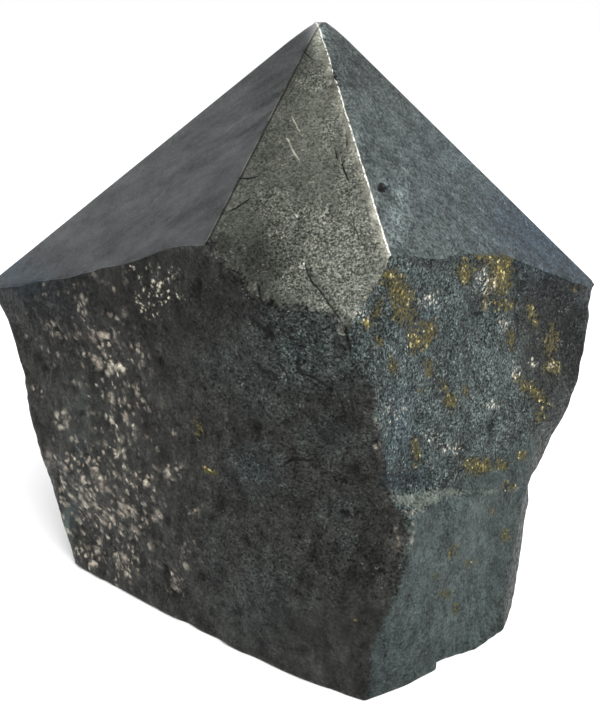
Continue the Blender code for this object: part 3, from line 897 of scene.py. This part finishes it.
def surface_values(at, relief, columns, marks):
    """The values that the material reads at each point, by name."""
    after_front, after_valley, after_right = (
        around_from(columns, marks[list(CORNERS).index(name)], marks)[None]
        for name in ("front", "valley", "right"))
    wander = fine_noise(at.points, "wander") + 0.5 * fine_noise(at.points, "small wander")
    blue = smooth(after_front + 0.6 * wander, -0.4, 0.4) * smooth(after_valley, 2.0, -1.0)
    far = smooth(after_valley, -1.0, 2.0) * smooth(after_right, 4.0, 0.0)
    rear = smooth(after_right, -2.0, 4.0) * (after_front > 0) + (after_front < REAR_AFTER_FRONT)
    rear = np.clip(rear, 0, 1) * np.ones(at.ground.shape)
    broad = fine_noise(at.points, "broad")
    slate = np.maximum(blue + 0.35 * far, spots(at.pixels, SLATE) * at.seen)
    slate = slate * (1 - rear) + rear * smooth(broad, -0.5, 0.6)

    soft = smooth(at.pixels[..., 0], *SOFT_LEFT) * at.seen
    soft = np.maximum(soft, 0.7 * smooth(at.pixels[..., 1], *SOFT_LOW) * at.seen)
    lean = np.radians(BRUSH_LEAN)

    stain = fine_noise(at.points, "stain") + 0.5 * broad
    patch = fine_noise(at.points * (1, 1, UPRIGHT_SHARE), "patch")
    # Painted glints: the glint value places the glints of light
    glint = spots(at.pixels, PAINTED_GLINT_SPOTS) * at.seen + rear * 0.7 * smooth(patch, 0.35, 0.9)
    white = spots(at.pixels, WHITE_GRAINS_AND_SPARKLE) * at.seen + rear * 0.5 * smooth(-patch, 0.4, 0.9)
    # Painted shade and painted light from the spots, which make up the tone value
    dark, light = spots(at.pixels, SHADE_AND_DARKER_TONE) * at.seen, spots(at.pixels, LIGHT_AND_PALER_TONE) * at.seen
    front_facet = at.ground * smooth(at.left_ridge, -0.1, 0.1) * smooth(at.right_ridge, 0.1, -0.1)
    fringe = smooth(at.rim_distance + 1.5 * wander, 0.2, 2.6)
    fringe = 1 - (1 - fringe) * front_facet * smooth(at.pixels[..., 0], *FRINGE_END)
    values = {
        "ground": at.ground * fringe,
        "left_facet": at.ground * smooth(at.left_ridge, 0.1, -0.1) * (after_front < 0),
        "front_facet": front_facet,
        "front_side": at.seen,
        "slate": np.clip(slate, 0, 1),
        "calm": smooth(at.points[..., 2], *BELOW_LEDGE) * blue * at.rough,
        "soft": soft,
        # Painted shade: the colour darkens in the hollows of the fine relief
        "hollow": np.clip(-relief / 0.4 + 0.35, 0, 1),
        "pit": np.clip(at.pit * 2.0, 0, 1),
        "along_brush": at.pixels @ (np.cos(lean), -np.sin(lean)) * PIXEL_WIDTH,
        "across_brush": at.pixels @ (np.sin(lean), np.cos(lean)) * PIXEL_WIDTH,
        "ochre": spots(at.pixels, OCHRE) * at.seen + rear * 0.8 * smooth(stain, 0.55, 1.0),
        "glint": glint * at.rough,
        "white": white,
        "tone": 1 - PAINTED_SHADE_SHARE * dark + PAINTED_LIGHT_SHARE * light,
        "left_ridge": np.clip(at.left_ridge, -RIDGE_LIMIT, RIDGE_LIMIT),
        "right_ridge": np.clip(at.right_ridge, -RIDGE_LIMIT, RIDGE_LIMIT),
    }
    for key, marks_of_key in (("frost", LEDGE_LIGHT_SPOTS), ("blue", BLUE_TINT_AND_SKY_REFLECTION), ("grit", GRIT),
                              ("brushed", BRUSHED)):
        values[key] = spots(at.pixels, marks_of_key) * at.seen
    for key, distance in (("line", at.line), ("pale_line", at.pale_line)):
        values[key] = np.clip(distance, -LINE_LIMIT, LINE_LIMIT)
        values[key + "_near"] = smooth(np.abs(distance), *LINE_END) * at.seen
    return values


def grid_mesh(name, points, values):
    """A closed mesh of a grid whose first and last rows are each a single point.

    Every square of the grid is a face, and the merging of close points closes both poles.
    """
    rows, around = points.shape[:2]
    index = np.arange(rows * around).reshape(rows, around)
    right = np.roll(index, -1, axis=1)
    faces = np.stack([index[:-1], right[:-1], right[1:], index[1:]], axis=-1).reshape(-1, 4)
    centred = (points - (*PLAN_CENTRE, 0)) * MM
    low, high = np.array(CAD_BOX[0]), np.array(CAD_BOX[1])
    centred = np.clip(centred, low, high)
    mesh = bpy.data.meshes.new(name)
    mesh.from_pydata(centred.reshape(-1, 3).tolist(), [], faces.tolist())
    for key, value in values.items():
        layer = mesh.attributes.new(key, "FLOAT", "POINT")
        layer.data.foreach_set("value", np.ascontiguousarray(value, np.float32).ravel())
    return mesh


def close_poles(mesh):
    """Merges points that lie together, as at the two poles, and shades the surface smooth."""
    net = bmesh.new()
    net.from_mesh(mesh)
    bmesh.ops.remove_doubles(net, verts=net.verts, dist=MERGE_DISTANCE * MM)
    net.to_mesh(mesh)
    net.free()
    mesh.shade_smooth()
    mesh.set_sharp_from_angle(angle=np.radians(SHARP_ANGLE))


def brushed_noise(f, ore, length, width, detail, rough):
    """Noise about 0 that is drawn out along the brush strokes of the left facet."""
    place = f.node("ShaderNodeCombineXYZ", {}, {
        "X": ore.along_brush / length, "Y": ore.across_brush / width})
    return f.noise(place, 1.0, detail, rough) - 0.5


def shared_wires(f):
    """The point values and noises that the parts of the finish share."""
    ore = SimpleNamespace(**{key: f.attribute(key) for key in POINT_VALUES})
    ore.place = f.scaled(f.node("ShaderNodeTexCoord", out="Object"), 1 / MM)
    for key, (size, detail, rough) in NOISES.items():
        setattr(ore, key, f.noise(ore.place, size, detail, rough) - 0.5)
    ore.worm = abs(ore.worm)
    ore.crystal, (ore.first, ore.second, ore.third) = f.grains(ore.place, CRYSTAL_SIZE)
    _, (ore.tiny, ore.spark, _) = f.grains(ore.place, SPARK_SIZE)
    ore.upright = f.node("ShaderNodeMapping", {}, {"Vector": ore.place, "Scale": STREAK_SHAPE})
    ore.streak = f.noise(ore.upright, 1.1, 3.0, 0.55) - 0.5
    ore.chunk, (ore.chunk_luck, ore.chunk_shade, _) = f.beads(ore.place, *CHUNKS)
    ore.strokes = brushed_noise(f, ore, 6.0, 0.8, 2.0, 0.5)
    ore.gritty = (ore.grit + ore.cloud * 0.8).rise(0.10, 0.60)
    ore.crisp = 1 - ore.soft.most(ore.calm * 0.8)
    ragged = (ore.speck * 10.0 + ore.curl * 7.0) * ore.ground * (1 - ore.ground)
    ore.ground = (ore.ground + ragged).rise(0.3, 0.7)
    return ore


def rock_colour(f, ore, look):
    """Granular brown, slate and blue ore, darkened by painted shade in its hollows, with painted
    light on the ledge's top and painted sparkle on its grains.
    """
    rock = f.mix(ore.slate + ore.cloud * 0.8, look.brown_rock, look.slate_rock)
    rock = f.mix(ore.blue * 0.8 + ore.broad * ore.blue, rock, look.blue_rock)
    grain = (ore.first - 0.5) * 0.4 + (ore.tiny - 0.5) * 1.1 + ore.speck * (3.0 + ore.slate * 4.6)
    grain = grain + ore.sand * (1.2 + ore.slate * 4.0)
    grain = grain + ore.worm.rise(0.04, 0.0) * (0.1 + ore.slate * 0.5)
    grain = 1 + grain * (0.15 + (0.85 + ore.slate * 0.15) * ore.crisp)
    grain = grain + ore.cloud * 1.5 + ore.broad + ore.streak * (1.2 + ore.soft)
    grain = grain - abs(ore.curl).rise(0.04, 0.0) * ore.crisp * (0.20 + ore.slate * 0.85)
    grain = grain - ore.speck.rise(-0.12, -0.22) * ore.crisp * 0.5
    # Painted light and shade: the tone value lightens and darkens the rock, and hollows of the
    # relief are darkened as painted shade
    rock = f.scaled(rock, grain.most(DARKEST) * ore.tone * (1 - 0.7 * ore.hollow))

    # Painted light: the ledge's top is paled where it faces up
    on_lit_ledge = (ore.frost + ore.speck * 1.4 + ore.cloud * 1.0).rise(0.25, 0.75)
    ledge_light_colour = f.scaled(look.ledge_light_colour, (0.85 + (ore.tiny - 0.5) * 0.5 + ore.speck * 2.0).most(0.1))
    rock = f.mix(on_lit_ledge * 0.8, rock, ledge_light_colour)

    # Painted sparkle: bright flecks of light on the grains
    painted_sparkle = (ore.spark + ore.cloud * 0.5 + ore.slate * 0.05 + ore.white * 0.12).rise(*SPARKS_FROM)
    painted_sparkle = painted_sparkle * (0.08 + 0.10 * ore.slate + 0.2 * ore.white) * ore.crisp
    return f.mix(painted_sparkle, rock, look.grain_sparkle)


def add_stains(f, ore, look, rock):
    """Adds ochre stains with gold and straw grains, and white flakes that are partly painted
    sparkle.

    Returns the colour and the share of stain.
    """
    halo = (ore.ochre + ore.cloud * 0.5).rise(0.10, 0.40)
    rock = f.scaled(rock, 1 - halo * 0.45)
    stained = ore.ochre + ore.speck * 1.9 + ore.curl * 2.1 + ore.streak * 0.5 + ore.cloud * 0.9
    stained = stained.rise(0.24, 0.50) * ore.ochre.rise(0.04, 0.20)
    flow = f.noise(ore.upright, 0.55, 2.0, 0.6) - 0.5
    rich = (flow * 2.2 + ore.curl * 2.2 + ore.speck * 2.6 + ore.ochre * 0.6).rise(0.50, 1.70)
    rusty = f.mix(rich, look.ochre, look.gold)
    bright = (ore.chunk_luck + ore.ochre * 0.22 + ore.cloud * 0.8 + ore.curl).rise(0.86, 1.12)
    bright = ore.chunk * bright * (0.35 + ore.chunk_shade * 0.65)
    rusty = f.mix(bright, rusty, look.straw)
    shine = 1 + ore.speck * 3.4 + ore.sand * 3.0 + ore.cloud * 1.2
    shine = shine - abs(ore.curl).rise(0.04, 0.0) * 0.6
    rock = f.mix(stained * 0.96, rock, f.scaled(rusty, shine.most(DARKEST)))

    # Pale flakes, partly painted sparkle
    flake = (ore.white * 0.50 - ore.chunk_luck + ore.speck * 0.8 + ore.cloud).rise(-0.30, 0.10)
    flake = ore.chunk * flake * ore.white.rise(0.04, 0.35)
    return f.mix(flake * (0.5 + ore.third * 0.5), rock, look.cream), stained


def add_glints(f, ore, look, rock):
    """Adds painted glints: pale beads of two sizes on the left, where light glints on the
    crystals.

    Returns the colour and the share of beads.
    """
    bead, (luck, shade, hue) = f.beads(ore.place, *SMALL_BEADS)
    dense = (luck + ore.glint * 0.85 + ore.cloud * 0.9 - 0.78).rise(0.0, 0.75)
    large, (large_luck, large_shade, _) = f.beads(ore.place, *LARGE_BEADS)
    many = (large_luck + ore.glint * 1.1 + ore.cloud * 0.9 - 1.0).rise(0.0, 0.5)
    pale = (bead * dense).most(large * many) * ore.glint.rise(0.02, 0.3)
    tint = f.mix((hue + ore.cloud).rise(0.3, 0.8), look.beige, look.cream)
    shade = 0.26 + shade * 0.4 + large_shade * 0.35
    shade = shade + ore.speck * 1.8 + ore.curl * 1.4 + ore.soft * 0.1
    return f.mix(pale * 0.9, rock, f.scaled(tint, shade.most(0.1))), pale


def facet_colour(f, ore, look):
    """The ground facets: brushed on the left, glossy and gritty in front, mottled elsewhere, with
    painted reflection tints: warm in front and the sky's blue towards the right.
    """
    facet = f.mix(ore.front_facet, look.right_facet, look.front_facet)
    facet = f.mix(ore.left_facet, facet, look.left_facet)
    # Painted reflection: the sky's blue on the facets towards the right
    facet = f.mix(ore.blue * (0.8 + ore.cloud), facet, look.facet_sky_reflection)
    smear = brushed_noise(f, ore, 7.0, 3.2, 4.0, 0.6)
    satin = 1 + ore.strokes * (0.6 + 2.8 * ore.brushed) + smear * 2.3 + ore.cloud * 0.5
    mottle = 1 + (ore.first - 0.5) * 0.3 + (ore.tiny - 0.5) * 0.7 + ore.cloud * 2.3
    mottle = mottle + ore.speck * 5.6 + ore.curl * 1.4 + ore.broad
    fine = ore.sand * 1.9 + (ore.tiny - 0.5) * 0.6 + ore.speck * 1.1
    skin = ore.sand * 5.6 + ore.speck * 2.6 + (ore.tiny - 0.5) * 1.2
    skin = skin + ore.worm.rise(0.035, 0.0) * 0.8 - abs(ore.curl).rise(0.02, 0.0) * 0.4 - 0.05
    glossy = 1 + fine * (1 - ore.gritty) + skin * ore.gritty + ore.cloud * 0.8 + ore.broad * 0.5
    grain = ore.left_facet * satin + ore.front_facet * glossy
    grain = grain + (1 - ore.left_facet - ore.front_facet) * mottle
    # The tone value brings its painted light and shade onto the facets too
    facet = f.scaled(facet, grain.most(0.35) * ore.tone)
    rusty = (ore.ochre + ore.speck * 1.5).rise(0.35, 0.8)
    facet = f.mix(rusty * 0.45, facet, look.ochre)
    # Painted sparkle: bright flecks of light on the front and right facets
    spark = (ore.spark + ore.cloud * 0.6 + ore.grit * 0.06).rise(*SPARKS_FROM)
    return f.mix(spark * (1 - ore.left_facet) * 0.16, facet, look.cream)


def add_lines(f, ore, look, colour):
    """Pits and cracks darkened as painted shade, pale scratches, and painted highlight and shade
    along the front's ridges.
    """
    # Painted shade: pits and cracks are darkened towards near black
    colour = f.mix((ore.pit + ore.curl * ore.pit * 3.0).rise(0.2, 0.5), colour, look.crack)
    wobble = ore.speck * 2.4
    cut = abs(ore.line + wobble + ore.curl * 2.0).rise(1.5, 0.7) * ore.line_near
    colour = f.mix(cut * 0.9, colour, look.crack)
    scratch = abs(ore.pale_line + wobble).rise(1.3, 0.5)
    scratch = scratch * ore.pale_line_near * (ore.cloud + 0.5).rise(0.35, 0.6)
    colour = f.mix(scratch * (0.35 - 0.27 * ore.left_facet), colour, look.cream)

    front = ore.ground * ore.front_side
    # Painted highlight: a pale band on the front facet beside the right ridge
    glow = (ore.right_ridge + ore.cloud * 0.6 + ore.speck).rise(-1.3, -0.1)
    glow = glow * ore.right_ridge.rise(0.15, 0.05)
    colour = f.mix(glow * front * 0.12, colour, look.cream)
    # Painted highlight: the bright line where the worn, rounded right ridge catches the light
    worn = abs(ore.right_ridge + ore.speck * 0.5 + ore.cloud * 0.25).rise(0.13, 0.04) * front
    worn = worn * (ore.curl + ore.cloud + ore.speck).rise(-0.25, 0.05) * ore.tone.rise(0.45, 0.8)
    colour = f.mix(worn * 0.7, colour, look.ridge_highlight_colour)
    # Painted shade: a dark line along the rounded left ridge
    left_ridge_shade = abs(ore.left_ridge - 0.1).rise(0.22, 0.08) * front
    colour = f.mix(left_ridge_shade * 0.6, colour, look.crack)
    # Painted highlight: a faint pale line along the left ridge
    edge = abs(ore.left_ridge + 0.08).rise(0.14, 0.05) * front * (ore.cloud + 0.5).rise(0.4, 0.6)
    return f.mix(edge * 0.14, colour, look.cream)


def surface_normal(f, ore, pale):
    """Small bumps, and crystals that each lean their own way."""
    wall = ore.first * 0.5 + ore.speck * 1.1 + ore.cloud * 0.8
    wall = wall * (0.2 + 0.8 * ore.crisp) + ore.streak * 0.4 + pale * 0.5
    facet = (ore.tiny * 0.35 + ore.speck * 0.6) * (0.2 + 0.8 * ore.gritty * ore.front_facet)
    facet = facet + ore.strokes * ore.left_facet * 0.25
    bump = f.node("ShaderNodeBump", {}, {
        "Strength": 1.0, "Distance": BUMP_HEIGHT * MM,
        "Height": wall * (1 - ore.ground) + facet * ore.ground * 0.35})
    tilt = f.vectors("SUBTRACT", ore.crystal, HALF)
    tilt = f.scaled(tilt, (1 - ore.ground) * (0.12 + 0.48 * ore.crisp) + ore.ground * 0.08)
    return f.vectors("NORMALIZE", f.vectors("ADD", bump, tilt))


def hematite_finish(look):
    """The stone's finish: granular ore with stains on the wall, brushed and satin facets."""
    f = Finish("hematite")
    ore = shared_wires(f)
    rock = rock_colour(f, ore, look)
    rock, stained = add_stains(f, ore, look, rock)
    rock, pale = add_glints(f, ore, look, rock)
    colour = f.mix(ore.ground, rock, facet_colour(f, ore, look))

    metal = ore.ground * 0.85 + (1 - ore.ground) * (0.30 + ore.second * 0.25)
    metal = metal * (1 - stained * (1 - ore.ground)) * (1 - pale)
    rough_wall = 0.42 + ore.third * 0.35 + ore.calm * 0.1
    rough_facet = 0.42 - ore.front_facet * 0.06 + (ore.tiny - 0.5) * 0.16
    for name, value in (
        ("Base Color", add_lines(f, ore, look, colour)),
        ("Metallic", metal),
        ("Roughness", rough_wall * (1 - ore.ground) + rough_facet * ore.ground),
        ("Specular IOR Level", 0.15),
        ("Normal", surface_normal(f, ore, pale)),
    ):
        f.plug(f.surface.inputs[name], value)
    return f.material


def floor_finish(colour):
    """Plain matt paper."""
    f = Finish("paper")
    f.plug(f.surface.inputs["Base Color"], (*colour, 1))
    f.plug(f.surface.inputs["Roughness"], 0.9)
    f.plug(f.surface.inputs["Specular IOR Level"], 0.1)
    return f.material


def colour_property(name, description, default):
    """A colour that a user can change."""
    return FloatVectorProperty(
        name=name, description=description, default=default, size=3, subtype="COLOR",
        min=0.0, max=1.0)


class HematiteLook(bpy.types.PropertyGroup):
    """Colours of the stone."""

    brown_rock: colour_property("Brown rock", "Ore of the left side", (0.0250, 0.0250, 0.0225))
    slate_rock: colour_property("Slate rock", "Ore of the right side", (0.034, 0.046, 0.044))
    ochre: colour_property("Ochre", "Iron stain", (0.036, 0.0315, 0.0095))
    blue_rock: colour_property("Blue rock", "Deep blue ore", (0.022, 0.045, 0.062))
    # Painted light on the ledge's top
    ledge_light_colour: colour_property("Ledge light", "Painted light on the ledge's top", (0.100, 0.112, 0.094))
    straw: colour_property("Straw", "Brightest grains in the stain", (0.60, 0.53, 0.27))
    gold: colour_property("Gold", "Bright grains in the stain", (0.190, 0.146, 0.033))
    # Painted glints: the colour of the glints of light on the left side
    beige: colour_property("Beige", "Pale glints of the left side", (0.42, 0.36, 0.30))
    # Painted sparkle: the colour of the bright flecks on the grains
    grain_sparkle: colour_property("Pale grain", "Sugary white grains", (0.72, 0.74, 0.70))
    # The facets' colours are the ground ore's grey with painted reflection tints: grey on the
    # left, warm in front, bluish on the right
    left_facet: colour_property("Left facet", "Brushed facet", (0.060, 0.0635, 0.0655))
    front_facet: colour_property("Front facet", "Glossy facet", (0.060, 0.0630, 0.0535))
    right_facet: colour_property("Right facet", "Mottled facet", (0.048, 0.059, 0.058))
    facet_sky_reflection: colour_property("Facet sky reflection", "Blue of a facet", (0.040, 0.066, 0.092))
    cream: colour_property("Cream", "Bright flakes and scratches", (0.62, 0.58, 0.47))
    # Painted shade: the near black inside pits and cracks and along the left ridge
    crack: colour_property("Crack", "Depth of a crack", (0.006, 0.006, 0.006))
    # Painted highlight of the worn right ridge
    ridge_highlight_colour: colour_property("Ridge highlight", "Bright edge", (0.95, 0.95, 0.88))


class HematiteStage(bpy.types.PropertyGroup):
    """The floor, the lamps and the camera."""

    floor: colour_property("Floor", "Paper under the stone", (0.90, 0.90, 0.90))
    key_power: FloatProperty(name="Key power", description="Lamp above the front", default=2.4,
                             min=0.0, subtype="POWER")
    side_power: FloatProperty(name="Side power", description="Lamp at the right", default=1.2,
                              min=0.0, subtype="POWER")
    sky: FloatProperty(name="Sky", description="Strength of the even light", default=1.1, min=0.0)


class HEMATITE_OT_stone(bpy.types.Operator):
    """Builds the hematite stone's fine surface in place of the plain solid"""

    bl_idname = "hematite.stone"
    bl_label = "Hematite Stone"

    def execute(self, context):
        points, kind, columns, marks = stone_grid()
        at = survey(points, kind, columns)
        carved, relief = carve(at, columns, marks)
        values = surface_values(at, relief, columns, marks)
        mesh = grid_mesh("hematite_surface", carved, values)
        close_poles(mesh)
        mesh.materials.append(hematite_finish(context.scene.hematite_look))
        stone = bpy.data.objects.new("hematite_surface", mesh)
        context.scene.collection.objects.link(stone)
        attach(stone, "root")
        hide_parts("hematite_stone")
        return {"FINISHED"}


def add_lamp(context, name, place, size, power):
    """A square soft lamp that looks at the stone."""
    lamp = bpy.data.lights.new(name, "AREA")
    lamp.energy = power
    lamp.size = size
    holder = bpy.data.objects.new(name, lamp)
    holder.location = place
    aim = Vector(LAMP_TARGET) - Vector(place)
    holder.rotation_euler = aim.to_track_quat("-Z", "Y").to_euler()
    context.scene.collection.objects.link(holder)


class HEMATITE_OT_stage(bpy.types.Operator):
    """Adds the floor, soft lamps and the camera at the photograph's viewing angle"""

    bl_idname = "hematite.stage"
    bl_label = "Stage"

    def execute(self, context):
        look = context.scene.hematite_stage
        mesh = bpy.data.meshes.new("floor")
        corners = [(x * FLOOR_REACH, y * FLOOR_REACH, 0)
                   for x, y in ((-1, -1), (1, -1), (1, 1), (-1, 1))]
        mesh.from_pydata(corners, [], [(0, 1, 2, 3)])
        mesh.materials.append(floor_finish(look.floor))
        floor = bpy.data.objects.new("floor", mesh)
        context.scene.collection.objects.link(floor)

        add_lamp(context, "key", KEY_PLACE, KEY_SIZE, look.key_power)
        add_lamp(context, "side", SIDE_PLACE, SIDE_SIZE, look.side_power)

        world = bpy.data.worlds.new("sky")
        world.use_nodes = True
        sky = world.node_tree.nodes["Background"].inputs
        sky["Color"].default_value = (1, 1, 1, 1)
        sky["Strength"].default_value = look.sky
        context.scene.world = world

        camera = bpy.data.cameras.new("camera")
        camera.sensor_fit = "VERTICAL"
        camera.sensor_height = 36
        camera.lens = FOCUS / PICTURE[1] * camera.sensor_height
        camera.clip_start = CLIP_START
        holder = bpy.data.objects.new("camera", camera)
        holder.location = (np.array(EYE) - (*PLAN_CENTRE, 0)) * MM
        holder.rotation_euler = (np.radians(90 - PITCH), 0, 0)
        context.scene.collection.objects.link(holder)
        context.scene.camera = holder
        context.scene.view_settings.view_transform = "Standard"
        return {"FINISHED"}


class HEMATITE_PT_panel(bpy.types.Panel):
    """Lists the stone and its stage"""

    bl_idname = "HEMATITE_PT_panel"
    bl_label = "Hematite Stone"
    bl_space_type = "VIEW_3D"
    bl_region_type = "UI"
    bl_category = "Hematite"

    def draw(self, context):
        for group, operator in (
            (context.scene.hematite_look, HEMATITE_OT_stone),
            (context.scene.hematite_stage, HEMATITE_OT_stage),
        ):
            box = self.layout.box()
            for name in group.__annotations__:
                box.prop(group, name)
            box.operator(operator.bl_idname)


CLASSES = (
    HematiteLook, HematiteStage, HEMATITE_OT_stone, HEMATITE_OT_stage, HEMATITE_PT_panel,
)


def register():
    for item in CLASSES:
        bpy.utils.register_class(item)
    bpy.types.Scene.hematite_look = PointerProperty(type=HematiteLook)
    bpy.types.Scene.hematite_stage = PointerProperty(type=HematiteStage)


def unregister():
    del bpy.types.Scene.hematite_stage
    del bpy.types.Scene.hematite_look
    for item in reversed(CLASSES):
        bpy.utils.unregister_class(item)


def main():
    register()
    bpy.ops.hematite.stone()
    bpy.ops.hematite.stage()


if __name__ == "__main__":
    main()
